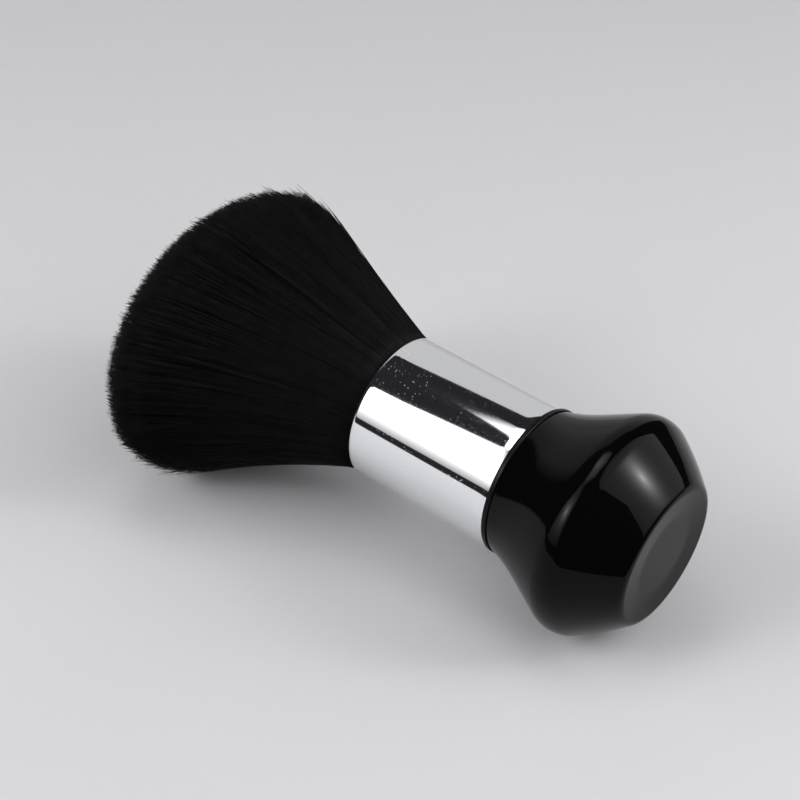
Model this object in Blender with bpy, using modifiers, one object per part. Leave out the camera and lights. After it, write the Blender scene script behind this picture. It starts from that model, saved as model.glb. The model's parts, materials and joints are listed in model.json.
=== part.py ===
"""Neck duster brush: a short round barber's brush with a flared bristle tuft, lying on its side.

Every piece is turned about the brush's own axis, so it is drawn as a profile of (radius, height)
points, with height 0 on the knob's end face and growing towards the bristles. The whole brush hangs
on one empty, which lays it down with its knob towards +X and both its knob and its tuft touching
the plane z = 0.
"""
import math

import bmesh
import bpy

# Driving dimensions, in metres
FERRULE_RADIUS = 0.0180
FERRULE_LENGTH = 0.0390
FERRULE_WALL = 0.0005
LIP_RADIUS = 0.0015

KNOB_LENGTH = 0.0369
KNOB_RADIUS = 0.02675
KNOB_NECK_RADIUS = 0.01795
SHOULDER_DEPTH = 0.0222
SHOULDER_RADIUS = 0.0072
FLARE_START_SLOPE = 0.22
FLARE_END_ANGLE = math.radians(25.5)
CONE_ANGLE = math.radians(38.0)
FACE_EDGE_RADIUS = 0.0022
BORE_RADIUS = 0.0130
BORE_FLOOR = 0.0090

COLLAR_RADIUS = 0.0182
COLLAR_THICKNESS = 0.0010
LOWER_SPIGOT_LENGTH = 0.0156
UPPER_SPIGOT_LENGTH = 0.0154
SPIGOT_WALL = 0.0024
PLUG_WEB = 0.0050
GROOVE_DEPTH = 0.0008
GROOVE_WIDTH = 0.0040

SLUG_RADIUS = 0.0124
SLUG_THICKNESS = 0.0080
ADHESIVE_THICKNESS = 0.0007
ADHESIVE_RADIUS = 0.0100

CUP_WALL = 0.0012
CUP_FLOOR = 0.0017
CUP_RIM_DEPTH = 0.0040
RESIN_FLOOR = 0.0030
RESIN_HEIGHT = 0.0080
ROOT_RADIUS = 0.0142
CORD_RADIUS = 0.0006
CORD_PITCH = 0.0016
CORD_TURNS = 3

TUFT_LENGTH = 0.0630
TUFT_RADIUS = 0.0387
TUFT_MOUTH_RADIUS = 0.0173
DOME_HEIGHT = 0.0140

TILT = math.radians(5.5)
GAP = 0.0003
SMALL_CHAMFER = 0.0004
SEGMENTS = 48

# Heights along the axis that several pieces share
FERRULE_BACK = KNOB_LENGTH
MOUTH = FERRULE_BACK + FERRULE_LENGTH
FERRULE_INNER = FERRULE_RADIUS - FERRULE_WALL
COLLAR_TOP = FERRULE_BACK - GAP
COLLAR_BOTTOM = COLLAR_TOP - COLLAR_THICKNESS
KNOB_TOP = COLLAR_BOTTOM - GAP
SPIGOT_TOP = COLLAR_TOP + UPPER_SPIGOT_LENGTH
SPIGOT_BOTTOM = COLLAR_BOTTOM - LOWER_SPIGOT_LENGTH
UPPER_SPIGOT_RADIUS = FERRULE_INNER - GAP
LOWER_SPIGOT_RADIUS = BORE_RADIUS - GAP
CUP_BOTTOM = SPIGOT_TOP + GAP
CUP_TOP = MOUTH - CUP_RIM_DEPTH
CUP_RADIUS = FERRULE_INNER - GAP
CUP_INNER = CUP_RADIUS - CUP_WALL
RESIN_BOTTOM = CUP_BOTTOM + CUP_FLOOR + GAP
RESIN_TOP = RESIN_BOTTOM + RESIN_HEIGHT
ROOT_BOTTOM = RESIN_BOTTOM + RESIN_FLOOR + GAP


def clear_scene():
    for item in list(bpy.data.objects):
        bpy.data.objects.remove(item, do_unlink=True)


def new_collection(name):
    collection = bpy.data.collections.new(name)
    bpy.context.scene.collection.children.link(collection)
    return collection


def make_material(name, colour, roughness, metallic=0.0):
    material = bpy.data.materials.new(name)
    material.use_nodes = True
    shader = material.node_tree.nodes["Principled BSDF"]
    shader.inputs["Base Color"].default_value = (*colour, 1.0)
    shader.inputs["Roughness"].default_value = roughness
    shader.inputs["Metallic"].default_value = metallic
    return material


def arc(centre, radius, start, end, count):
    """Points of an arc in the (radius, height) plane, with angles in degrees from the outward side."""
    points = []
    for step in range(count + 1):
        angle = math.radians(start + (end - start) * step / count)
        points.append((centre[0] + radius * math.cos(angle), centre[1] + radius * math.sin(angle)))
    return points


def turned(name, profile, material, closed=False):
    """Turn a profile about the brush's axis; its outer side is listed from top to bottom."""
    mesh = bpy.data.meshes.new(name)
    build = bmesh.new()
    vertices = [build.verts.new((radius, 0.0, height)) for radius, height in profile]
    for first, second in zip(vertices, vertices[1:]):
        build.edges.new((first, second))
    if closed:
        build.edges.new((vertices[-1], vertices[0]))
    build.to_mesh(mesh)
    build.free()
    piece = bpy.data.objects.new(name, mesh)
    mesh.materials.append(material)
    brush_collection.objects.link(piece)
    piece.parent = brush_axis
    screw = piece.modifiers.new("Turn", "SCREW")
    screw.steps = SEGMENTS
    screw.render_steps = SEGMENTS
    screw.use_merge_vertices = True
    screw.merge_threshold = 0.00001
    screw.use_smooth_shade = True
    return piece


def knob_outline():
    """The knob's outer side from its neck to its end face: flare, round shoulder, cone, face edge."""
    shoulder = (KNOB_RADIUS - SHOULDER_RADIUS, KNOB_LENGTH - SHOULDER_DEPTH)
    flare_end = (
        shoulder[0] + SHOULDER_RADIUS * math.cos(FLARE_END_ANGLE),
        shoulder[1] + SHOULDER_RADIUS * math.sin(FLARE_END_ANGLE),
    )
    drop = KNOB_TOP - flare_end[1]
    outline = []
    flare_steps = 6
    for step in range(flare_steps):
        part = step / flare_steps
        keep_start = 2 * part**3 - 3 * part**2 + 1
        leave_start = part**3 - 2 * part**2 + part
        keep_end = 3 * part**2 - 2 * part**3
        reach_end = part**3 - part**2
        radius = (
            keep_start * KNOB_NECK_RADIUS
            + leave_start * FLARE_START_SLOPE * drop
            + keep_end * flare_end[0]
            + reach_end * math.tan(FLARE_END_ANGLE) * drop
        )
        outline.append((radius, KNOB_TOP - drop * part))
    outline += arc(shoulder, SHOULDER_RADIUS, math.degrees(FLARE_END_ANGLE), -math.degrees(CONE_ANGLE), 8)
    cone_start = outline[-1]
    edge_height = FACE_EDGE_RADIUS - FACE_EDGE_RADIUS * math.sin(CONE_ANGLE)
    edge_radius = cone_start[0] - (cone_start[1] - edge_height) * math.tan(CONE_ANGLE)
    edge_centre = (edge_radius - FACE_EDGE_RADIUS * math.cos(CONE_ANGLE), FACE_EDGE_RADIUS)
    outline += arc(edge_centre, FACE_EDGE_RADIUS, -math.degrees(CONE_ANGLE), -90.0, 3)
    return outline


def tuft_outline():
    """The tuft's outer side from the top of its dome down to the ferrule's mouth."""
    corner_height = MOUTH + TUFT_LENGTH - DOME_HEIGHT
    outline = []
    dome_steps = 9
    for step in range(dome_steps + 1):
        angle = math.pi / 2 * (1 - step / dome_steps)
        outline.append((TUFT_RADIUS * math.cos(angle), corner_height + DOME_HEIGHT * math.sin(angle)))
    outline[0] = (0.0, outline[0][1])
    flare_steps = 8
    flare_length = corner_height - MOUTH - LIP_RADIUS
    for step in range(1, flare_steps + 1):
        part = 1 - step / flare_steps
        widening = 0.9 * part + 0.1 * part**2
        radius = TUFT_MOUTH_RADIUS + (TUFT_RADIUS - TUFT_MOUTH_RADIUS) * widening
        outline.append((radius, MOUTH + LIP_RADIUS + flare_length * part))
    return outline


def make_bristles():
    lip_inner = FERRULE_RADIUS - LIP_RADIUS
    root = [
        (lip_inner - GAP, MOUTH + GAP),
        (lip_inner - GAP, MOUTH - LIP_RADIUS),
        (CUP_INNER - 2 * GAP, CUP_TOP + GAP),
        (ROOT_RADIUS, CUP_TOP - 0.0030),
        (ROOT_RADIUS, ROOT_BOTTOM),
        (0.0, ROOT_BOTTOM),
    ]
    tuft = turned("bristle_tuft", tuft_outline() + root, bristle_nylon)
    table = bpy.data.meshes.new("table_plane")
    build = bmesh.new()
    bmesh.ops.create_cube(build, size=0.4)
    bmesh.ops.translate(build, verts=build.verts, vec=(0.0, 0.0, -0.2))
    build.to_mesh(table)
    build.free()
    cutter = bpy.data.objects.new("table_plane", table)
    cutter.hide_render = True
    cutter.display_type = "WIRE"
    cutter_collection.objects.link(cutter)
    flatten = tuft.modifiers.new("Rest on the table", "BOOLEAN")
    flatten.object = cutter
    flatten.operation = "DIFFERENCE"


def make_binding_cord():
    """Three turns of cord round the bristle root, just above the resin."""
    points_per_turn = 24
    centre_radius = ROOT_RADIUS + GAP + CORD_RADIUS
    start = RESIN_TOP + GAP + 2 * CORD_RADIUS
    curve = bpy.data.curves.new("binding_cord", "CURVE")
    curve.dimensions = "3D"
    curve.bevel_depth = CORD_RADIUS
    curve.bevel_resolution = 2
    curve.use_fill_caps = True
    spline = curve.splines.new("POLY")
    count = CORD_TURNS * points_per_turn
    spline.points.add(count)
    for index in range(count + 1):
        angle = 2 * math.pi * index / points_per_turn
        height = start + CORD_PITCH * index / points_per_turn
        spline.points[index].co = (
            centre_radius * math.cos(angle), centre_radius * math.sin(angle), height, 1.0)
    curve.materials.append(waxed_cord)
    cord = bpy.data.objects.new("binding_cord", curve)
    brush_collection.objects.link(cord)
    cord.parent = brush_axis


def make_root_resin():
    outer = CUP_INNER - GAP
    inner = ROOT_RADIUS + GAP
    floor = RESIN_BOTTOM + RESIN_FLOOR
    turned("root_resin", [
        (0.0, floor),
        (inner, floor),
        (inner, RESIN_TOP),
        (outer, RESIN_TOP),
        (outer, RESIN_BOTTOM),
        (0.0, RESIN_BOTTOM),
    ], set_resin)


def make_knot_cup():
    turned("knot_cup", [
        (0.0, CUP_BOTTOM + CUP_FLOOR),
        (CUP_INNER, CUP_BOTTOM + CUP_FLOOR),
        (CUP_INNER, CUP_TOP),
        (CUP_RADIUS, CUP_TOP),
        (CUP_RADIUS, CUP_BOTTOM + SMALL_CHAMFER),
        (CUP_RADIUS - SMALL_CHAMFER, CUP_BOTTOM),
        (0.0, CUP_BOTTOM),
    ], pale_plastic)


def make_mouth_glue():
    """The bead of glue that seals the cup's rim to the ferrule wall, hidden behind the bristles."""
    bottom = CUP_TOP + GAP
    turned("mouth_glue_bead", [
        (CUP_RADIUS, bottom + 0.0014),
        (CUP_RADIUS, bottom),
        (CUP_INNER + GAP, bottom),
        (CUP_INNER + 2 * GAP, bottom + 0.0007),
    ], clear_glue, closed=True)


def make_ferrule():
    """A thin tube with its front edge rolled inwards round the bristles."""
    lip_centre = (FERRULE_RADIUS - LIP_RADIUS, MOUTH - LIP_RADIUS)
    outer = arc(lip_centre, LIP_RADIUS, 90.0, 0.0, 5)
    outer.append((FERRULE_RADIUS, FERRULE_BACK))
    inner = [(FERRULE_INNER, FERRULE_BACK)]
    inner += arc(lip_centre, LIP_RADIUS - FERRULE_WALL, 0.0, 90.0, 4)
    turned("ferrule", outer + inner, bright_aluminium, closed=True)


def groove(radius, height):
    """A shallow glue groove round a spigot, listed from top to bottom."""
    half = GROOVE_WIDTH / 2
    return [
        (radius, height + half),
        (radius - GROOVE_DEPTH, height + half),
        (radius - GROOVE_DEPTH, height - half),
        (radius, height - half),
    ]


def make_glue_ring(name, radius, height):
    half = GROOVE_WIDTH / 2 - GAP
    inner = radius - GROOVE_DEPTH + GAP
    turned(name, [
        (radius, height + half),
        (radius, height - half),
        (inner, height - half),
        (inner, height + half),
    ], clear_glue, closed=True)


def make_core_plug():
    """The moulded plug that joins knob and ferrule; its collar is the thin ring between them."""
    upper_groove = COLLAR_TOP + UPPER_SPIGOT_LENGTH / 2
    lower_groove = COLLAR_BOTTOM - LOWER_SPIGOT_LENGTH / 2
    upper_inner = UPPER_SPIGOT_RADIUS - SPIGOT_WALL
    lower_inner = LOWER_SPIGOT_RADIUS - SPIGOT_WALL
    collar_middle = (COLLAR_TOP + COLLAR_BOTTOM) / 2
    web_top = collar_middle + PLUG_WEB / 2
    web_bottom = collar_middle - PLUG_WEB / 2
    collar_centre = (COLLAR_RADIUS - COLLAR_THICKNESS / 2, collar_middle)
    profile = [
        (0.0, web_top),
        (upper_inner, web_top),
        (upper_inner, SPIGOT_TOP),
        (UPPER_SPIGOT_RADIUS, SPIGOT_TOP),
    ]
    profile += groove(UPPER_SPIGOT_RADIUS, upper_groove)
    profile.append((UPPER_SPIGOT_RADIUS, COLLAR_TOP))
    profile += arc(collar_centre, COLLAR_THICKNESS / 2, 90.0, -90.0, 6)
    profile.append((LOWER_SPIGOT_RADIUS, COLLAR_BOTTOM))
    profile += groove(LOWER_SPIGOT_RADIUS, lower_groove)
    profile += [
        (LOWER_SPIGOT_RADIUS, SPIGOT_BOTTOM),
        (lower_inner, SPIGOT_BOTTOM),
        (lower_inner, web_bottom),
        (0.0, web_bottom),
    ]
    turned("core_plug", profile, satin_black_plastic)
    make_glue_ring("ferrule_glue_ring", UPPER_SPIGOT_RADIUS, upper_groove)
    make_glue_ring("knob_glue_ring", LOWER_SPIGOT_RADIUS, lower_groove)


def make_knob():
    """The gloss knob, with a blind bore from its neck for the plug and the weight."""
    outline = knob_outline()
    neck = outline[0]
    profile = [
        (0.0, BORE_FLOOR),
        (BORE_RADIUS, BORE_FLOOR),
        (BORE_RADIUS, KNOB_TOP - SMALL_CHAMFER),
        (BORE_RADIUS + SMALL_CHAMFER, KNOB_TOP),
        (neck[0] - SMALL_CHAMFER, KNOB_TOP),
        (neck[0], KNOB_TOP - SMALL_CHAMFER),
    ]
    profile += outline[1:]
    profile.append((0.0, 0.0))
    turned("knob", profile, gloss_black_plastic)


def make_weight():
    """The steel slug in the bottom of the bore, on a dab of adhesive."""
    dab_bottom = BORE_FLOOR + GAP
    dab_top = dab_bottom + ADHESIVE_THICKNESS
    turned("slug_adhesive", [
        (0.0, dab_top),
        (ADHESIVE_RADIUS, dab_top),
        (ADHESIVE_RADIUS, dab_bottom),
        (0.0, dab_bottom),
    ], clear_glue)
    bottom = dab_top + GAP
    top = bottom + SLUG_THICKNESS
    turned("weight_slug", [
        (0.0, top),
        (SLUG_RADIUS - SMALL_CHAMFER, top),
        (SLUG_RADIUS, top - SMALL_CHAMFER),
        (SLUG_RADIUS, bottom + SMALL_CHAMFER),
        (SLUG_RADIUS - SMALL_CHAMFER, bottom),
        (0.0, bottom),
    ], plated_steel)


def lay_down():
    """Turn the axis to lie along -X, with the knob's widest ring on z = 0 and the box centred on x = 0."""
    knob = knob_outline()
    tuft = tuft_outline()
    lowest = min(height * math.sin(TILT) - radius * math.cos(TILT) for radius, height in knob)
    knob_end = max(radius * math.sin(TILT) - height * math.cos(TILT) for radius, height in knob)
    tuft_end = min(-radius * math.sin(TILT) - height * math.cos(TILT) for radius, height in tuft)
    brush_axis.rotation_euler = (0.0, TILT - math.pi / 2, 0.0)
    brush_axis.location = (-(knob_end + tuft_end) / 2, 0.0, -lowest)


clear_scene()
brush_collection = new_collection("neck_duster_brush")
cutter_collection = new_collection("cutters")
brush_axis = bpy.data.objects.new("brush_axis", None)
brush_collection.objects.link(brush_axis)

bristle_nylon = make_material("bristle_nylon", (0.006, 0.006, 0.007), 0.55)
waxed_cord = make_material("waxed_cord", (0.60, 0.52, 0.38), 0.80)
set_resin = make_material("set_resin", (0.62, 0.50, 0.26), 0.25)
pale_plastic = make_material("pale_plastic", (0.78, 0.77, 0.74), 0.45)
clear_glue = make_material("clear_glue", (0.80, 0.78, 0.70), 0.20)
bright_aluminium = make_material("bright_aluminium", (0.91, 0.92, 0.93), 0.08, metallic=1.0)
satin_black_plastic = make_material("satin_black_plastic", (0.010, 0.010, 0.011), 0.28)
gloss_black_plastic = make_material("gloss_black_plastic", (0.004, 0.004, 0.004), 0.04)
plated_steel = make_material("plated_steel", (0.56, 0.57, 0.58), 0.30, metallic=1.0)

make_bristles()
make_binding_cord()
make_root_resin()
make_knot_cup()
make_mouth_glue()
make_ferrule()
make_core_plug()
make_knob()
make_weight()
lay_down()
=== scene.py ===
"""Looks for the neck duster brush: fine turned shells, a tuft of real fibres, studio cards and camera."""
import json
import math

import bpy
import numpy as np
from mathutils import Matrix, Vector


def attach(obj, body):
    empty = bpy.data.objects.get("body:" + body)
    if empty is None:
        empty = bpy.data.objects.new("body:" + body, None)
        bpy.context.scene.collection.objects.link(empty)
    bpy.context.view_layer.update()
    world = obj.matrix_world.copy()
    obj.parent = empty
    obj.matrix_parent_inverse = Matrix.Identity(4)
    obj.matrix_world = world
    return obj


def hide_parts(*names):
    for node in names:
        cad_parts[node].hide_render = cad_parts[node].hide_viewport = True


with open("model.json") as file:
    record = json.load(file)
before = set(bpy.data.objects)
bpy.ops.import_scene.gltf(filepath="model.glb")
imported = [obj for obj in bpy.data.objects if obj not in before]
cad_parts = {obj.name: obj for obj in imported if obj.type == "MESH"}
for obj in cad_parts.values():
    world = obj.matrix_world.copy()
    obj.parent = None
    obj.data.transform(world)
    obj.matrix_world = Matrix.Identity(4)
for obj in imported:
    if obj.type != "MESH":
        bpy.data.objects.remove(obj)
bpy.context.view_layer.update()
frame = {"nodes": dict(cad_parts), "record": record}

BODY = "root"
MM = 0.001

# Driving dimensions, the same as the CAD model's, in metres
FERRULE_RADIUS = 18.0 * MM
FERRULE_LENGTH = 39.0 * MM
FERRULE_WALL = 0.5 * MM
LIP_RADIUS = 1.5 * MM
KNOB_LENGTH = 36.9 * MM
KNOB_RADIUS = 26.75 * MM
KNOB_NECK_RADIUS = 17.95 * MM
SHOULDER_DEPTH = 22.2 * MM
SHOULDER_RADIUS = 7.2 * MM
FLARE_START_SLOPE = 0.22
FLARE_END_ANGLE = math.radians(25.5)
CONE_ANGLE = math.radians(38.0)
FACE_EDGE_RADIUS = 2.2 * MM
BORE_RADIUS = 13.0 * MM
BORE_FLOOR = 9.0 * MM
COLLAR_RADIUS = 18.2 * MM
COLLAR_THICKNESS = 1.0 * MM
UPPER_SPIGOT_LENGTH = 15.4 * MM
LOWER_SPIGOT_LENGTH = 15.6 * MM
SPIGOT_WALL = 2.4 * MM
PLUG_WEB = 5.0 * MM
GAP = 0.3 * MM
MOUTH = KNOB_LENGTH + FERRULE_LENGTH

# Fine shape that the CAD model leaves out: the knob's rounded cone and the shallow dish in its end face
CONE_CURVE_RADIUS = 68.0 * MM
CONE_BULGE_ANGLE = 5.0
DISH_SLOPE = 5.0
DISH_BAND = 7.0 * MM
DISH_EVEN_SHARE = 0.7
NECK_ROUNDING = 0.2 * MM
COLLAR_CHAMFER = 0.12 * MM
FERRULE_TURN_IN = 0.10 * MM
FERRULE_TURN_LENGTH = 2.4 * MM
FINE_SEGMENTS = 192

# The tuft: its trimmed shape, how far its tips sag sideways and down, and how its fibres vary
TUFT_LENGTH = 62.4 * MM
TUFT_RADIUS = 38.4 * MM
TUFT_ROOT_RADIUS = 16.6 * MM
TUFT_STRAIGHTNESS = 0.825
TUFT_FLATTENING = 0.028
DOME_HEIGHT = 15.0 * MM
TRIM_TILT = (1.7 * MM, -1.5 * MM)
SAG = np.array([0.0, 4.8, 4.7]) * MM
SAG_FULL_HEIGHT = 22.0 * MM
TABLE_CLEARANCE = 0.15 * MM
TABLE_SOFTNESS = 2.5 * MM
ROOT_DEPTH = 2.0 * MM
FIBRE_THICKNESS = 0.15 * MM
FIBRE_SIDES = 3
CLUMPS_ROUND = 150
CLUMPS_DEEP = 22
SIDE_FIBRES = 3000
DOME_FIBRES = 4200
LOOSE_FIBRES = 260

# The studio: glow cards stand on a sphere of one metre round this point, and lights a little further off
BRUSH_CENTRE = Vector((0.03, 0.0, 0.035))
LIGHT_DISTANCE = 1.2
FLOOR_HALF_SIZE = 6.0
# The faint glow that reflections see in place of the pale room and table: a painted dark reflection
DARK = (0.018, 0.018, 0.021, 1.0)

# The brush's own axes: height runs from the knob's end face towards the bristles
end_face = next(mount for mount in frame["record"]["mounts"] if mount["name"] == "knob_end_face")
axis_z = -Vector(end_face["axis"]).normalized()
axis_y = Vector((0.0, 1.0, 0.0))
axis_x = axis_y.cross(axis_z)
brush = Matrix((axis_x, axis_y, axis_z)).transposed().to_4x4()
brush.translation = Vector(end_face["pos_m"])


# ---------------------------------------------------------------- materials

def new_material(name, colour, roughness, metallic=0.0):
    """A Principled material; returns it with its node tree and shader."""
    material = bpy.data.materials.new(name)
    material.use_nodes = True
    tree = material.node_tree
    shader = tree.nodes["Principled BSDF"]
    shader.inputs["Base Color"].default_value = (*colour, 1.0)
    shader.inputs["Roughness"].default_value = roughness
    shader.inputs["Metallic"].default_value = metallic
    return material, tree, shader


def add_noise(tree, scale, detail=3.0):
    """A noise texture in object space, in cycles per metre; returns its value output."""
    place = tree.nodes.new("ShaderNodeTexCoord")
    texture = tree.nodes.new("ShaderNodeTexNoise")
    texture.inputs["Scale"].default_value = scale
    texture.inputs["Detail"].default_value = detail
    tree.links.new(place.outputs["Object"], texture.inputs["Vector"])
    return texture.outputs["Fac"]


def add_math(tree, operation, first, second):
    """A Math node; each operand is a number or another node's output."""
    node = tree.nodes.new("ShaderNodeMath")
    node.operation = operation
    for socket, operand in zip(node.inputs, (first, second)):
        if isinstance(operand, bpy.types.NodeSocket):
            tree.links.new(operand, socket)
        else:
            socket.default_value = operand
    return node.outputs["Value"]


def add_ramp(tree, value, low_colour, high_colour):
    """A two-colour ramp; returns its colour output."""
    ramp = tree.nodes.new("ShaderNodeValToRGB")
    ramp.color_ramp.elements[0].color = (*low_colour, 1.0)
    ramp.color_ramp.elements[1].color = (*high_colour, 1.0)
    tree.links.new(value, ramp.inputs["Fac"])
    return ramp.outputs["Color"]


def remap(tree, value, low, high, to_low, to_high):
    """Stretch a value from the range low to high on to the range to_low to to_high, and clamp it there."""
    node = tree.nodes.new("ShaderNodeMapRange")
    node.inputs["From Min"].default_value = low
    node.inputs["From Max"].default_value = high
    node.inputs["To Min"].default_value = to_low
    node.inputs["To Max"].default_value = to_high
    tree.links.new(value, node.inputs["Value"])
    return node.outputs["Result"]


def add_bump(tree, shader, height, distance, strength):
    """Let a height value tilt the shader's normal; distance is in metres."""
    bump = tree.nodes.new("ShaderNodeBump")
    bump.inputs["Strength"].default_value = strength
    bump.inputs["Distance"].default_value = distance
    tree.links.new(height, bump.inputs["Height"])
    tree.links.new(bump.outputs["Normal"], shader.inputs["Normal"])


def gloss_black():
    """Piano-black moulded plastic with a faint waviness and light handling marks."""
    material, tree, shader = new_material("gloss_black_plastic", (0.0012, 0.0012, 0.0014), 0.04)
    shader.inputs["IOR"].default_value = 1.20
    marks = add_noise(tree, 900.0, detail=4.0)
    tree.links.new(remap(tree, marks, 0.35, 0.75, 0.025, 0.07), shader.inputs["Roughness"])
    waviness = add_noise(tree, 160.0, detail=1.0)
    add_bump(tree, shader, waviness, 0.00002, 0.5)
    return material


def satin_black():
    """The collar's black plastic, with the fine grain of a moulding that isn't polished."""
    material, tree, shader = new_material("satin_black_plastic", (0.002, 0.002, 0.002), 0.3)
    shader.inputs["IOR"].default_value = 1.22
    grain = add_noise(tree, 2500.0)
    tree.links.new(remap(tree, grain, 0.3, 0.7, 0.26, 0.36), shader.inputs["Roughness"])
    return material


def bright_aluminium():
    """Polished, anodised aluminium with fine rubbing marks and specks of dust in loose patches."""
    material, tree, shader = new_material("bright_aluminium", (0.92, 0.93, 0.95), 0.06, metallic=1.0)
    marks = add_noise(tree, 1800.0, detail=5.0)
    place = tree.nodes.new("ShaderNodeTexCoord")
    specks = tree.nodes.new("ShaderNodeTexVoronoi")
    specks.inputs["Scale"].default_value = 1400.0
    tree.links.new(place.outputs["Object"], specks.inputs["Vector"])
    patches = remap(tree, add_noise(tree, 160.0, detail=3.0), 0.3, 0.75, 0.03, 0.17)
    speck = add_math(tree, "LESS_THAN", specks.outputs["Distance"], patches)
    tree.links.new(remap(tree, speck, 0.0, 1.0, 1.0, 0.75), shader.inputs["Metallic"])
    rubbed = remap(tree, marks, 0.4, 0.8, 0.04, 0.08)
    dusty = add_math(tree, "MAXIMUM", rubbed, remap(tree, speck, 0.0, 1.0, 0.0, 0.6))
    tree.links.new(dusty, shader.inputs["Roughness"])
    return material


def bristle_nylon(name, shade, roughness):
    """Black nylon filament, with a faint dusty sheen that varies from place to place."""
    material, tree, shader = new_material(name, (shade, shade, shade * 1.05), roughness)
    shader.inputs["Specular IOR Level"].default_value = 0.08
    shader.inputs["Sheen Roughness"].default_value = 0.6
    shader.inputs["Sheen Tint"].default_value = (0.5, 0.5, 0.52, 1.0)
    dust = add_noise(tree, 420.0, detail=4.0)
    tree.links.new(remap(tree, dust, 0.35, 0.75, 0.0, 0.02), shader.inputs["Sheen Weight"])
    return material


def plain_procedural(name, colour, roughness, scale, metallic=0.0):
    """A hidden inner material with a mottled colour and a fine surface."""
    material, tree, shader = new_material(name, colour, roughness, metallic)
    grain = add_noise(tree, scale)
    low_colour = [0.8 * part for part in colour]
    high_colour = [min(1.0, 1.1 * part) for part in colour]
    tree.links.new(add_ramp(tree, grain, low_colour, high_colour), shader.inputs["Base Color"])
    add_bump(tree, shader, grain, 0.00005, 0.3)
    return material


# ---------------------------------------------------------------- turned shells

def arc(centre, radius, start, end, count):
    """Points of an arc in the (radius, height) plane, angles in degrees from the outward side."""
    points = []
    for step in range(count + 1):
        angle = math.radians(start + (end - start) * step / count)
        points.append((centre[0] + radius * math.cos(angle), centre[1] + radius * math.sin(angle)))
    return points


def line(start, end, count):
    """Points from start up to but without end."""
    return [
        (start[0] + (end[0] - start[0]) * step / count, start[1] + (end[1] - start[1]) * step / count)
        for step in range(count)
    ]


def mesh_object(name, vertices, quads, triangles, material):
    """A mesh from number arrays, with every face smooth."""
    mesh = bpy.data.meshes.new(name)
    corners = np.concatenate([np.asarray(quads, np.int32).ravel(), np.asarray(triangles, np.int32).ravel()])
    sizes = np.concatenate([np.full(len(quads), 4, np.int32), np.full(len(triangles), 3, np.int32)])
    mesh.vertices.add(len(vertices))
    mesh.vertices.foreach_set("co", np.asarray(vertices, np.float32).ravel())
    mesh.loops.add(len(corners))
    mesh.loops.foreach_set("vertex_index", corners)
    mesh.polygons.add(len(sizes))
    mesh.polygons.foreach_set("loop_start", np.concatenate([[0], np.cumsum(sizes)[:-1]]).astype(np.int32))
    mesh.polygons.foreach_set("loop_total", sizes)
    mesh.update(calc_edges=True)
    mesh.validate()
    mesh.shade_smooth()
    mesh.materials.append(material)
    piece = bpy.data.objects.new(name, mesh)
    bpy.context.scene.collection.objects.link(piece)
    return piece


def turned(name, profile, material, closed=False):
    """Turn a (radius, height) profile, its outer side listed from top to bottom, about the brush's axis."""
    segments = FINE_SEGMENTS
    rings = []
    vertices = []
    for radius, height in profile:
        if radius < 1e-7:
            rings.append([len(vertices)])
            vertices.append((0.0, 0.0, height))
            continue
        rings.append(list(range(len(vertices), len(vertices) + segments)))
        for step in range(segments):
            angle = 2 * math.pi * step / segments
            vertices.append((radius * math.cos(angle), radius * math.sin(angle), height))
    pairs = list(zip(rings, rings[1:]))
    if closed:
        pairs.append((rings[-1], rings[0]))
    quads = []
    triangles = []
    for upper, lower in pairs:
        for step in range(segments):
            following = (step + 1) % segments
            if len(upper) == 1:
                triangles.append((upper[0], lower[step], lower[following]))
            elif len(lower) == 1:
                triangles.append((upper[step], lower[0], upper[following]))
            else:
                quads.append((upper[step], lower[step], lower[following], upper[following]))
    placed = [brush @ Vector(vertex) for vertex in vertices]
    quads = np.array(quads, np.int32).reshape(-1, 4)
    triangles = np.array(triangles, np.int32).reshape(-1, 3)
    piece = mesh_object(name, np.array(placed), quads, triangles, material)
    piece.data.set_sharp_from_angle(angle=math.radians(40.0))
    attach(piece, BODY)
    return piece


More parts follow.
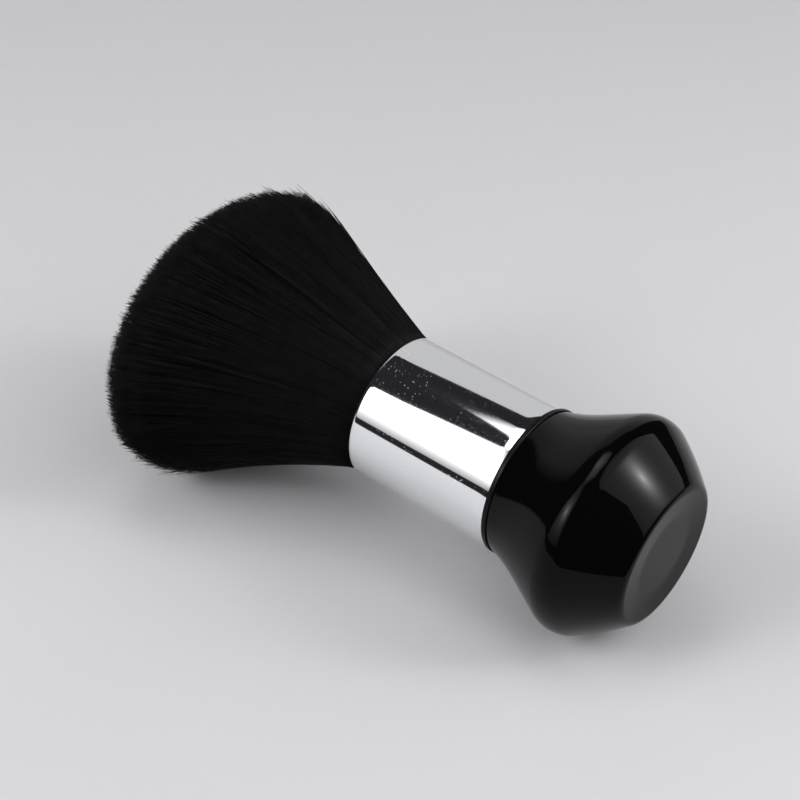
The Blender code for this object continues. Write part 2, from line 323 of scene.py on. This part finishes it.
def knob_outline():
    """Flare, round shoulder, cone and face edge, from the neck down to the end face."""
    shoulder = (KNOB_RADIUS - SHOULDER_RADIUS, KNOB_LENGTH - SHOULDER_DEPTH)
    flare_end = (
        shoulder[0] + SHOULDER_RADIUS * math.cos(FLARE_END_ANGLE),
        shoulder[1] + SHOULDER_RADIUS * math.sin(FLARE_END_ANGLE),
    )
    top = KNOB_LENGTH - COLLAR_THICKNESS - 1.25 * GAP  # a hair below the collar, clear of it
    drop = top - flare_end[1]
    outline = []
    steps = 24
    for step in range(steps):
        part = step / steps
        radius = (
            (2 * part**3 - 3 * part**2 + 1) * KNOB_NECK_RADIUS
            + (part**3 - 2 * part**2 + part) * FLARE_START_SLOPE * drop
            + (3 * part**2 - 2 * part**3) * flare_end[0]
            + (part**3 - part**2) * math.tan(FLARE_END_ANGLE) * drop
        )
        outline.append((radius, top - drop * part))
    cone_top = math.degrees(CONE_ANGLE) - CONE_BULGE_ANGLE
    outline += arc(shoulder, SHOULDER_RADIUS, math.degrees(FLARE_END_ANGLE), -cone_top, 32)
    offset = SHOULDER_RADIUS - CONE_CURVE_RADIUS
    curve_centre = (
        shoulder[0] + offset * math.cos(math.radians(cone_top)),
        shoulder[1] - offset * math.sin(math.radians(cone_top)),
    )
    reach = CONE_CURVE_RADIUS - FACE_EDGE_RADIUS
    cone_bottom = math.asin((curve_centre[1] - FACE_EDGE_RADIUS) / reach)
    outline += arc(curve_centre, CONE_CURVE_RADIUS, -cone_top, -math.degrees(cone_bottom), 24)[1:]
    edge_centre = (curve_centre[0] + reach * math.cos(cone_bottom), FACE_EDGE_RADIUS)
    outline += arc(edge_centre, FACE_EDGE_RADIUS, -math.degrees(cone_bottom), -90.0 - DISH_SLOPE, 16)[1:]
    return outline


def dished_face(rim_radius, rim_height):
    """The end face inside its rim: a band that slopes gently inward and levels out into a flat middle."""
    rise = math.tan(math.radians(DISH_SLOPE)) * DISH_BAND
    steps = 20
    points = []
    for step in range(1, steps + 1):
        part = step / steps
        levelled = max(0.0, part - DISH_EVEN_SHARE)
        depth = rise * (part - levelled**2 / (2 - 2 * DISH_EVEN_SHARE))
        points.append((rim_radius - DISH_BAND * part, rim_height + depth))
    flat = points[-1]
    points += line((flat[0] * 0.85, flat[1]), (0.0, flat[1]), 5)
    points.append((0.0, flat[1]))
    return points


def make_knob():
    """The gloss black knob, from the socket inside it out over the neck and down to the end face."""
    outline = knob_outline()
    neck = outline[0]
    profile = [(0.0, BORE_FLOOR), (BORE_RADIUS, BORE_FLOOR), (BORE_RADIUS, neck[1])]
    profile += arc((neck[0] - NECK_ROUNDING, neck[1] - NECK_ROUNDING), NECK_ROUNDING, 90.0, 10.0, 6)
    profile += outline[1:]
    profile += dished_face(*outline[-1])
    knob = turned("knob_shell", profile, materials["gloss_black_plastic"])
    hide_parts("knob")


def make_plug():
    """The plug inside ferrule and knob; only its thin collar shows between the two."""
    below = KNOB_LENGTH - COLLAR_THICKNESS - GAP
    above = KNOB_LENGTH - GAP
    spigot = BORE_RADIUS - GAP
    upper_spigot = FERRULE_RADIUS - FERRULE_WALL - GAP
    collar_middle = below + COLLAR_THICKNESS / 2
    web_top = collar_middle + PLUG_WEB / 2
    web_bottom = collar_middle - PLUG_WEB / 2
    top = above + UPPER_SPIGOT_LENGTH
    bottom = below - LOWER_SPIGOT_LENGTH
    profile = [
        (0.0, web_top),
        (upper_spigot - SPIGOT_WALL, web_top),
        (upper_spigot - SPIGOT_WALL, top),
        (upper_spigot, top),
        (upper_spigot, above),
        (COLLAR_RADIUS - COLLAR_CHAMFER, above),
        (COLLAR_RADIUS, above - COLLAR_CHAMFER),
        (COLLAR_RADIUS, below + COLLAR_CHAMFER),
        (COLLAR_RADIUS - COLLAR_CHAMFER, below),
        (spigot, below),
        (spigot, bottom),
        (spigot - SPIGOT_WALL, bottom),
        (spigot - SPIGOT_WALL, web_bottom),
        (0.0, web_bottom),
    ]
    plug = turned("core_plug_turned", profile, materials["satin_black_plastic"])
    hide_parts("core_plug")


def make_ferrule():
    """The thin bright tube: its rolled front lip, its straight side and its slightly turned-in back end."""
    lip_centre = (FERRULE_RADIUS - LIP_RADIUS, MOUTH - LIP_RADIUS)
    profile = arc(lip_centre, LIP_RADIUS, 90.0, 0.0, 16)
    side_top = (FERRULE_RADIUS, MOUTH - LIP_RADIUS - MM)
    side_bottom = (FERRULE_RADIUS, KNOB_LENGTH + FERRULE_TURN_LENGTH)
    profile += line(side_top, side_bottom, 12)
    for step in range(13):
        part = step / 12
        height = KNOB_LENGTH + FERRULE_TURN_LENGTH * (1 - part)
        profile.append((FERRULE_RADIUS - FERRULE_TURN_IN * part**3, height))
    inner = FERRULE_RADIUS - FERRULE_WALL
    profile.append((inner, KNOB_LENGTH))
    profile += arc(lip_centre, LIP_RADIUS - FERRULE_WALL, 0.0, 90.0, 10)
    ferrule = turned("ferrule_tube", profile, materials["bright_aluminium"], closed=True)
    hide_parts("ferrule")


# ---------------------------------------------------------------- bristles

def fibre_mesh(name, paths, thickness, material):
    """Closed three-sided fibres along paths, an array of (fibre, point, xyz), thinner at their tips."""
    count, points, _ = paths.shape
    along = np.gradient(paths, axis=1)
    along /= np.linalg.norm(along, axis=2, keepdims=True)
    no_fibre_way = np.array([0.31, 0.86, 0.41])
    side = np.cross(along, no_fibre_way)
    side /= np.linalg.norm(side, axis=2, keepdims=True)
    third = np.cross(along, side)
    taper = np.ones(points)
    taper[-1] = 0.45
    vertices = np.empty((count, points, FIBRE_SIDES, 3))
    for corner in range(FIBRE_SIDES):
        angle = 2 * math.pi * corner / FIBRE_SIDES
        spread = side * math.cos(angle) + third * math.sin(angle)
        vertices[:, :, corner] = paths + spread * (thickness[:, None] * taper)[:, :, None] / 2
    first = np.arange(count)[:, None, None] * points * FIBRE_SIDES
    low = first + np.arange(points - 1)[None, :, None] * FIBRE_SIDES
    high = low + FIBRE_SIDES
    corner = np.arange(FIBRE_SIDES)[None, None, :]
    following = (corner + 1) % FIBRE_SIDES
    quads = np.stack([low + corner, low + following, high + following, high + corner], -1).reshape(-1, 4)
    start = first[:, 0, 0]
    end = start + (points - 1) * FIBRE_SIDES
    caps = np.concatenate([
        np.stack([start + 2, start + 1, start], -1),
        np.stack([end, end + 1, end + 2], -1),
    ])
    piece = mesh_object(name, vertices.reshape(-1, 3), quads, caps, material)
    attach(piece, BODY)
    return piece


def smooth_random(generator, angles, waves, size):
    """A wavy value round the brush: a sum of a few random cosines, about size high."""
    total = np.zeros_like(angles)
    for wave in waves:
        total += generator.normal() * np.cos(wave * angles + generator.uniform(0, 2 * math.pi))
    return size * total / math.sqrt(len(waves))


def to_world(radius, angle, height):
    """World points from arrays of radius, angle and height about the brush's own axis."""
    local = np.stack([radius * np.cos(angle), radius * np.sin(angle), height], -1)
    rotation = np.array(brush.to_3x3())
    return local @ rotation.T + np.array(brush.translation)


def tuft_points(share, angle, height):
    """World points in the tuft's layer (share 0 to 1) at heights above the mouth, with its sag."""
    part = np.clip(height / (TUFT_LENGTH - DOME_HEIGHT), 0.0, 1.0)
    widening = TUFT_STRAIGHTNESS * part + (1 - TUFT_STRAIGHTNESS) * part**2
    flare = TUFT_ROOT_RADIUS + (TUFT_RADIUS - TUFT_ROOT_RADIUS) * widening
    radius = share * flare * (1 - TUFT_FLATTENING * part * np.cos(2 * angle))
    inside_lip = FERRULE_RADIUS - LIP_RADIUS - 0.1 * MM
    radius = np.where(height < 0.3 * MM, np.minimum(radius, inside_lip), radius)
    points = to_world(radius, angle, MOUTH + height)
    sag = np.clip(height / TUFT_LENGTH, 0.0, None)[..., None] ** 2 * SAG
    sag[..., 1] *= np.clip(points[..., 2] / SAG_FULL_HEIGHT, 0.3, 1.0)
    return points - sag


def trim_height(share, angle):
    """Height of the trimmed end above the mouth: a dome, cut a little longer on one side."""
    dome = DOME_HEIGHT * np.sqrt(np.clip(1 - share**2, 0, 1))
    tilt = TRIM_TILT[0] * np.cos(angle) + TRIM_TILT[1] * np.sin(angle)
    return TUFT_LENGTH - DOME_HEIGHT + dome + share * tilt


def keep_above_table(points, clearance):
    """Bend what comes near the table, or would go through it, smoothly on to it."""
    depth = np.clip(clearance + TABLE_SOFTNESS - points[..., 2], 0.0, None)
    points[..., 2] += depth - TABLE_SOFTNESS * (1 - np.exp(-depth / TABLE_SOFTNESS))
    points[..., 2] = np.maximum(points[..., 2], clearance)
    return points


def layer_paths(generator, share, angle, start_part, points, lift=0.0):
    """Paths for fibres at given layers and angles, from start_part of their length to their tips.

    Fibres share small shifts with the others in their clump, and each adds a little of its own.
    """
    count = len(share)
    clump_round = np.floor(angle / (2 * math.pi) * CLUMPS_ROUND)
    clump_deep = np.floor(share * CLUMPS_DEEP + 0.3 * np.sin(9 * angle))
    clump = (clump_round + CLUMPS_ROUND * clump_deep).astype(int)
    clump_count = CLUMPS_ROUND * (CLUMPS_DEEP + 2)
    clump_length = generator.normal(0, 0.42 * MM, clump_count)[clump]
    clump_lean = generator.normal(0, 0.012, clump_count)[clump]
    clump_turn = generator.normal(0, 0.011, clump_count)[clump]
    tip_height = trim_height(np.minimum(share, 1.0), angle) + clump_length
    tip_height += generator.normal(0, 0.10 * MM, count)
    tip_height += smooth_random(generator, angle, (3, 5, 8, 13), 0.25 * MM)
    lean = generator.normal(0, 0.009, count) + clump_lean + lift * generator.random(count) ** 2
    turn = generator.normal(0, 0.019 + lift / 2, count) + clump_turn
    wave = generator.uniform(0, 2 * math.pi, count)
    parts = np.linspace(start_part, 1.0, points)[None, :]
    height = (tip_height[:, None] + ROOT_DEPTH) * parts - ROOT_DEPTH
    layer = share[:, None] * (1 + lean[:, None] * parts**2)
    ripple = 0.006 * np.sin(wave[:, None] + 7 * parts) * parts
    paths = tuft_points(layer + ripple, angle[:, None] + turn[:, None] * parts**1.5, height)
    return keep_above_table(paths, TABLE_CLEARANCE)


def fibre_group(name, generator, share, start_part, points, material, lift=0.0):
    """One piece of many fibres at the given layers, spread evenly round the brush."""
    angle = generator.uniform(0, 2 * math.pi, len(share))
    thickness = generator.normal(FIBRE_THICKNESS, 0.02 * MM, len(share)).clip(0.1 * MM, 0.2 * MM)
    paths = layer_paths(generator, share, angle, start_part, points, lift)
    return fibre_mesh(name, paths, thickness, material)


def make_bristles():
    """Fibres from the mouth to their tips on the outside, and tips only where the dome hides the rest."""
    generator = np.random.default_rng(7)
    pieces = []
    for group in range(5):
        material = materials["bristles"][group % len(materials["bristles"])]
        share = 1.0 - 0.26 * generator.random(SIDE_FIBRES) ** 1.6
        pieces.append(fibre_group(f"bristles_side_{group + 1}", generator, share, 0.0, 9, material))
        share = np.sqrt(generator.random(DOME_FIBRES)) * 0.97
        pieces.append(fibre_group(f"bristles_dome_{group + 1}", generator, share, 0.72, 4, material))
    share = 1.0 - 0.02 * generator.random(LOOSE_FIBRES)
    material = materials["bristles"][1]
    pieces.append(fibre_group("bristles_loose", generator, share, 0.0, 9, material, lift=0.065))
    return pieces


def make_core():
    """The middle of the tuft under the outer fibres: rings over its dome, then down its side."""
    segments = 96
    rings = 20
    inset = 2.0 * MM
    depth = 4.0 * MM
    shares = np.concatenate([np.sin(np.linspace(0, math.pi / 2, rings + 1))[1:], np.ones(rings)])
    drops = np.concatenate([np.zeros(rings), np.linspace(0, 1, rings + 1)[1:]])
    angles = np.linspace(0, 2 * math.pi, segments, endpoint=False)[None, :]
    tips = trim_height(shares[:, None], angles) - inset
    heights = tips * (1 - drops[:, None]) - depth * drops[:, None]
    points = tuft_points(0.93 * shares[:, None], np.repeat(angles, len(shares), 0), heights)
    on_axis = np.zeros(1)
    top = tuft_points(on_axis, on_axis, trim_height(on_axis, on_axis) - inset)
    bottom = tuft_points(on_axis, on_axis, on_axis - depth)
    vertices = keep_above_table(np.concatenate([points.reshape(-1, 3), top, bottom]), MM)
    step = np.arange(segments)
    following = (step + 1) % segments
    first = (np.arange(len(shares) - 1) * segments)[:, None]
    second = first + segments
    quads = np.stack([first + step, second + step, second + following, first + following], -1)
    last = (len(shares) - 1) * segments
    top_index = np.full(segments, len(vertices) - 2)
    caps = np.concatenate([
        np.stack([top_index, step, following], -1),
        np.stack([last + following, last + step, top_index + 1], -1),
    ])
    core = mesh_object("bristle_core", vertices, quads.reshape(-1, 4), caps, materials["core"])
    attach(core, BODY)
    return core


# ---------------------------------------------------------------- studio

def direction(azimuth, elevation):
    """Unit vector, azimuth 0 on the -Y side and growing towards +X, in degrees."""
    azimuth = math.radians(azimuth)
    elevation = math.radians(elevation)
    level = math.cos(elevation)
    return Vector((math.sin(azimuth) * level, -math.cos(azimuth) * level, math.sin(elevation)))


def glow_material(name, glow, spot, spot_place, spot_size):
    """Emission scaled by the card's fade attribute, with a bright spot that falls off like a lamp's."""
    material = bpy.data.materials.new(name)
    material.use_nodes = True
    tree = material.node_tree
    tree.nodes.clear()
    output = tree.nodes.new("ShaderNodeOutputMaterial")
    emission = tree.nodes.new("ShaderNodeEmission")
    emission.inputs["Color"].default_value = (1.0, 0.995, 0.99, 1.0)
    place = tree.nodes.new("ShaderNodeTexCoord")
    towards = tree.nodes.new("ShaderNodeVectorMath")
    towards.operation = "NORMALIZE"
    tree.links.new(place.outputs["Object"], towards.inputs[0])
    distance = tree.nodes.new("ShaderNodeVectorMath")
    distance.operation = "DISTANCE"
    distance.inputs[1].default_value = spot_place
    tree.links.new(towards.outputs["Vector"], distance.inputs[0])
    falloff = add_math(tree, "POWER", math.exp(-1 / spot_size), distance.outputs["Value"])
    brightness = add_math(tree, "ADD", add_math(tree, "MULTIPLY", falloff, spot), glow)
    fade = tree.nodes.new("ShaderNodeAttribute")
    fade.attribute_name = "fade"
    strength = add_math(tree, "MULTIPLY", brightness, fade.outputs["Fac"])
    tree.links.new(strength, emission.inputs["Strength"])
    tree.links.new(emission.outputs["Emission"], output.inputs["Surface"])
    return material


def glow_card(name, rim, glow, feather, spot=0.0, spot_at=(0.0, 0.0), spot_size=0.1):
    """A lit card a metre off; its rim corners are (azimuth, elevation, share of the glow) from the brush."""
    outer = [direction(azimuth, elevation) for azimuth, elevation, _ in rim]
    middle = sum(outer, Vector()) / len(outer)
    inner = [corner.lerp(middle, feather) for corner in outer]
    count = len(outer)
    faces = []
    for corner in range(count):
        following = (corner + 1) % count
        faces.append((corner, following, count + following, count + corner))
        faces.append((count + corner, count + following, 2 * count))
    mesh = bpy.data.meshes.new(name)
    mesh.from_pydata(outer + inner + [middle], [], faces)
    fade = mesh.attributes.new("fade", "FLOAT", "POINT")
    fade.data.foreach_set("value", [share for _, _, share in rim] + [1.0] * (count + 1))
    mesh.materials.append(glow_material(name, glow, spot, direction(*spot_at), spot_size))
    card = bpy.data.objects.new(name, mesh)
    bpy.context.scene.collection.objects.link(card)
    card.location = BRUSH_CENTRE
    card.visible_camera = False
    card.visible_shadow = False


def area_light(name, azimuth, elevation, size, power):
    """A soft light that shapes the shadows but leaves the reflections to the glow cards."""
    light = bpy.data.lights.new(name, "AREA")
    light.shape = "DISK"
    light.size = size
    light.energy = power
    lamp = bpy.data.objects.new(name, light)
    bpy.context.scene.collection.objects.link(lamp)
    towards = direction(azimuth, elevation)
    lamp.location = BRUSH_CENTRE + towards * LIGHT_DISTANCE
    lamp.rotation_euler = towards.to_track_quat("Z", "Y").to_euler()
    lamp.visible_glossy = False
    lamp.visible_camera = False


def make_floor():
    """A pale, matt table top that glows a little far off, so that its edge stays pale in low views."""
    material, tree, shader = new_material("pale_table", (0.45, 0.45, 0.465), 0.7)
    shader.inputs["Specular IOR Level"].default_value = 0.2
    colour = add_ramp(tree, add_noise(tree, 25.0), (0.445, 0.445, 0.460), (0.455, 0.455, 0.470))
    tree.links.new(colour, shader.inputs["Base Color"])
    place = tree.nodes.new("ShaderNodeTexCoord")
    distance = tree.nodes.new("ShaderNodeVectorMath")
    distance.operation = "LENGTH"
    tree.links.new(place.outputs["Object"], distance.inputs[0])
    shader.inputs["Emission Color"].default_value = (0.97, 0.97, 1.0, 1.0)
    far_glow = remap(tree, distance.outputs["Value"], 0.6, 2.2, 0.0, 0.38)
    tree.links.new(far_glow, shader.inputs["Emission Strength"])
    size = FLOOR_HALF_SIZE
    corners = [(-size, -size, 0), (size, -size, 0), (size, size, 0), (-size, size, 0)]
    mesh = bpy.data.meshes.new("floor")
    mesh.from_pydata(corners, [], [(0, 1, 2, 3)])
    mesh.materials.append(material)
    floor = bpy.data.objects.new("floor", mesh)
    bpy.context.scene.collection.objects.link(floor)


def make_painted_dark_reflection_sheet():
    """A painted dark reflection of what lies beyond the white table on the camera's side: a faintly glowing
    dark sheet seen only in reflections.
    """
    material, _, shader = new_material("painted_dark_reflection_sheet", (0.0, 0.0, 0.0), 1.0)
    shader.inputs["Specular IOR Level"].default_value = 0.0
    # Painted dark reflection: the sheet's faint dark glow shows only in reflections, not as a lamp or as a
    # surface the camera sees
    shader.inputs["Emission Color"].default_value = DARK
    shader.inputs["Emission Strength"].default_value = 1.0
    mesh = bpy.data.meshes.new("painted_dark_reflection_sheet")
    lift = 0.5 * MM
    table_edge = [(0.35, 0.44), (0.137, -0.024), (0.02, -0.277), (-0.28, -0.40), (-0.80, -0.60)]
    rim = table_edge + [(-7.0, -7.0), (7.0, -7.0), (7.0, 0.44)]
    mesh.from_pydata([(x, y, lift) for x, y in rim], [], [tuple(range(len(rim)))])
    mesh.materials.append(material)
    surround = bpy.data.objects.new("painted_dark_reflection_sheet", mesh)
    bpy.context.scene.collection.objects.link(surround)
    surround.visible_camera = False
    surround.visible_diffuse = False
    surround.visible_shadow = False


def make_studio():
    """The table, the cards that give the gloss its bright and dark bands, and three soft lights."""
    make_floor()
    # A dark sheet that paints dark reflections into the gloss
    make_painted_dark_reflection_sheet()
    glow_card(
        "left_softbox",
        [
            (-46, 3, 0.5), (-45, 30, 0.9), (-38, 49, 1.0), (-41, 62, 1.0), (-12, 64, 0.2), (-3, 50, 0.3),
            (-4, 3, 0.2),
        ],
        glow=1.15, feather=0.4, spot=16.0, spot_at=(-23, 34), spot_size=0.09,
    )
    glow_card(
        "top_softbox",
        [
            (-90, 69.7, 0), (-125, 66.8, 0), (-145, 72, 0.3), (176, 76, 0.5), (110, 83, 0.5), (20, 73, 0.3),
            (-20, 63, 0.5), (-38, 63, 0.7), (-62, 71, 0),
        ],
        glow=1.9, feather=0.3, spot=5.0, spot_at=(-80, 80), spot_size=0.12,
    )
    glow_card(
        "right_panel",
        [
            (79, 10, 0.6), (84, 30, 1), (66, 46, 0.8), (58, 62, 0.6), (75, 74, 0.5), (120, 77, 0.5),
            (150, 66, 0.7), (163, 46, 0.8), (162, 22, 1), (152, 8, 0.8), (120, 5, 0.6),
        ],
        glow=1.5, feather=0.35, spot=42.0, spot_at=(116, 35), spot_size=0.075,
    )
    glow_card(
        "back_wall",
        [
            (-170, -4, 1), (-167, 38, 1), (-149, 50, 1), (-132, 57, 1), (-114, 48, 0.5), (-98, 36, 0),
            (-84, 22, 0), (-84, -4, 0),
        ],
        glow=0.57, feather=0.45,
    )
    area_light("low_left_light", azimuth=-62, elevation=20, size=0.7, power=4.5)
    area_light("front_left_light", azimuth=-32, elevation=42, size=0.6, power=3.4)
    area_light("front_right_light", azimuth=62, elevation=38, size=0.7, power=3.4)


def make_world():
    """Pale surroundings that light the brush evenly, almost dark in reflections, with a grey wall behind."""
    world = bpy.data.worlds.new("studio_world")
    bpy.context.scene.world = world
    world.use_nodes = True
    tree = world.node_tree
    room = tree.nodes["Background"]
    room.inputs["Color"].default_value = (0.60, 0.605, 0.615, 1.0)
    room.inputs["Strength"].default_value = 0.45
    ray = tree.nodes.new("ShaderNodeLightPath")
    shown = room.outputs["Background"]
    for kind, colour in (("Is Glossy Ray", DARK), ("Is Camera Ray", (0.52, 0.52, 0.54, 1.0))):
        background = tree.nodes.new("ShaderNodeBackground")
        background.inputs["Color"].default_value = colour
        choice = tree.nodes.new("ShaderNodeMixShader")
        tree.links.new(ray.outputs[kind], choice.inputs["Fac"])
        tree.links.new(shown, choice.inputs[1])
        tree.links.new(background.outputs["Background"], choice.inputs[2])
        shown = choice.outputs["Shader"]
    tree.links.new(shown, tree.nodes["World Output"].inputs["Surface"])


def make_camera():
    """A long lens from the front right, looking down at the brush."""
    camera = bpy.data.cameras.new("camera")
    camera.lens = 85.5
    camera.sensor_width = 36.0
    view = bpy.data.objects.new("camera", camera)
    bpy.context.scene.collection.objects.link(view)
    target = Vector((-37.24 * MM, 39.64 * MM, 0.0))
    towards = direction(38.7, 34.4)
    view.location = target + towards * 507.2 * MM
    view.rotation_euler = towards.to_track_quat("Z", "Y").to_euler()
    bpy.context.scene.camera = view


make_camera()
make_studio()
make_world()
bpy.context.scene.view_settings.view_transform = "Standard"

# Materials, by the record's slot name where it has one
materials = {
    "gloss_black_plastic": gloss_black(),
    "satin_black_plastic": satin_black(),
    "bright_aluminium": bright_aluminium(),
    "bristles": [
        bristle_nylon("bristle_nylon_black", 0.0030, 0.42),
        bristle_nylon("bristle_nylon_soft_black", 0.0045, 0.50),
        bristle_nylon("bristle_nylon_deep_black", 0.0020, 0.36),
    ],
    "core": plain_procedural("packed_bristles", (0.002, 0.002, 0.002), 0.7, 1500.0),
    "waxed_cord": plain_procedural("waxed_cord", (0.60, 0.52, 0.38), 0.8, 2500.0),
    "set_resin": plain_procedural("set_resin", (0.62, 0.50, 0.26), 0.25, 400.0),
    "pale_plastic": plain_procedural("pale_plastic", (0.78, 0.77, 0.74), 0.45, 800.0),
    "clear_glue": plain_procedural("clear_glue", (0.80, 0.78, 0.70), 0.2, 600.0),
    "plated_steel": plain_procedural("plated_steel", (0.56, 0.57, 0.58), 0.3, 900.0, metallic=1.0),
}

# The hidden CAD nodes keep their shape and take a better material
carried_over = {
    "binding_cord": "waxed_cord",
    "root_resin": "set_resin",
    "knot_cup": "pale_plastic",
    "mouth_glue_bead": "clear_glue",
    "ferrule_glue_ring": "clear_glue",
    "knob_glue_ring": "clear_glue",
    "slug_adhesive": "clear_glue",
    "weight_slug": "plated_steel",
}
for node, slot in carried_over.items():
    frame["nodes"][node].data.materials.clear()
    frame["nodes"][node].data.materials.append(materials[slot])

make_knob()
make_plug()
make_ferrule()
bristles = make_bristles()
bristles.append(make_core())
for piece in bristles:
    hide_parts("bristle_tuft")
